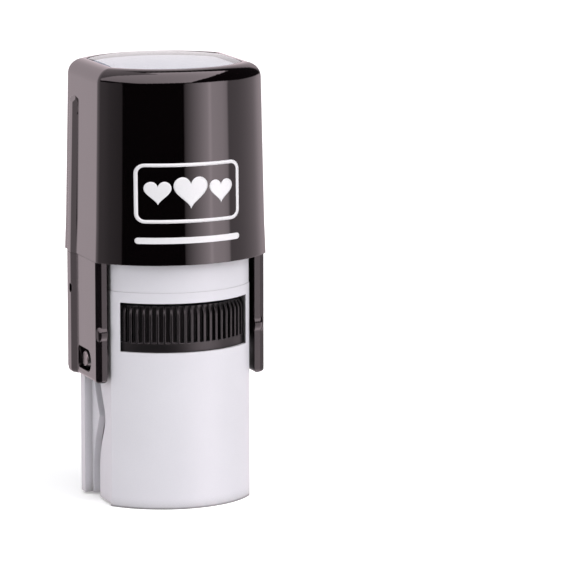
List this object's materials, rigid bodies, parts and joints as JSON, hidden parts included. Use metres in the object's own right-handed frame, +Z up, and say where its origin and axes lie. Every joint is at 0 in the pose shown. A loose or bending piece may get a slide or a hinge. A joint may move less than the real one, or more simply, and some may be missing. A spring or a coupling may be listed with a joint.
{
  "type": "self-inking rubber stamp",
  "caption": "Round-bodied self-inking hand stamp: pressing the cap flips the rubber die off its ink pad and down onto the paper.",
  "frame": {"origin": "centre of the base's footprint, on the paper", "axes": "+Z up through the cap; -Y towards the front, the side normally pictured; X across the two legs, along the die's flip axis"},
  "size_m": [0.027, 0.0276, 0.0645],
  "materials": {
    "base_plastic": "fine satin moulding texture, pale grey",
    "cap_plastic": "high gloss black",
    "yoke_plastic": "gloss black, slightly softer than the cap",
    "tray_plastic": "satin black with moulded grip ribs",
    "carrier_plastic": "satin dark grey",
    "clear_plastic": "polished, clear",
    "card": "uncoated card, pale grey",
    "pad_foam": "open-cell foam soaked with red ink",
    "pad_cloth": "fine plain weave, red ink",
    "die_rubber": "laser-cut rubber, ink-stained",
    "die_foam": "closed-cell foam tape",
    "pin_steel": "dull oiled steel",
    "steel": "drawn wire"
  },
  "bodies": {
    "base": {"base_frame": "base_plastic", "pad_tray": "tray_plastic", "ink_pad_foam": "pad_foam", "ink_pad_cloth": "pad_cloth", "return_spring": "steel"},
    "actuator": {"actuator_yoke": "yoke_plastic", "cap_shell": "cap_plastic", "label_card": "card"},
    "cover": {"label_cover": "clear_plastic"},
    "axle": {"pivot_axle": "pin_steel"},
    "carrier": {"die_carrier": "carrier_plastic", "die_cushion": "die_foam", "rubber_die": "die_rubber"}
  },
  "joints": [
    {"name": "press", "type": "slide", "parent": "base", "child": "actuator", "axis": [0, 0, -1], "range_m": [0, 0.0167], "stiffness_N_per_m": 800, "springref_m": -0.006, "deforming": ["return_spring"]},
    {"name": "axle_sway", "type": "hinge", "parent": "actuator", "child": "axle", "pos_m": [0, -0.0013, 0.0207], "axis": [1, 0, 0], "range_deg": [-360.1, 0.1]},
    {"name": "die_flip", "type": "hinge", "parent": "axle", "child": "carrier", "pos_m": [0, 0, 0.0207], "axis": [1, 0, 0], "range_deg": [-0.1, 180.1]},
    {"name": "cover_lift", "type": "slide", "parent": "actuator", "child": "cover", "axis": [0, 0, 1], "range_m": [0, 0.008]}
  ],
  "couplings": [
    {"joint": "axle_sway", "follows": "press", "rad_per_m": -376.24},
    {"joint": "die_flip", "follows": "press", "rad_per_m": 188.12}
  ]
}
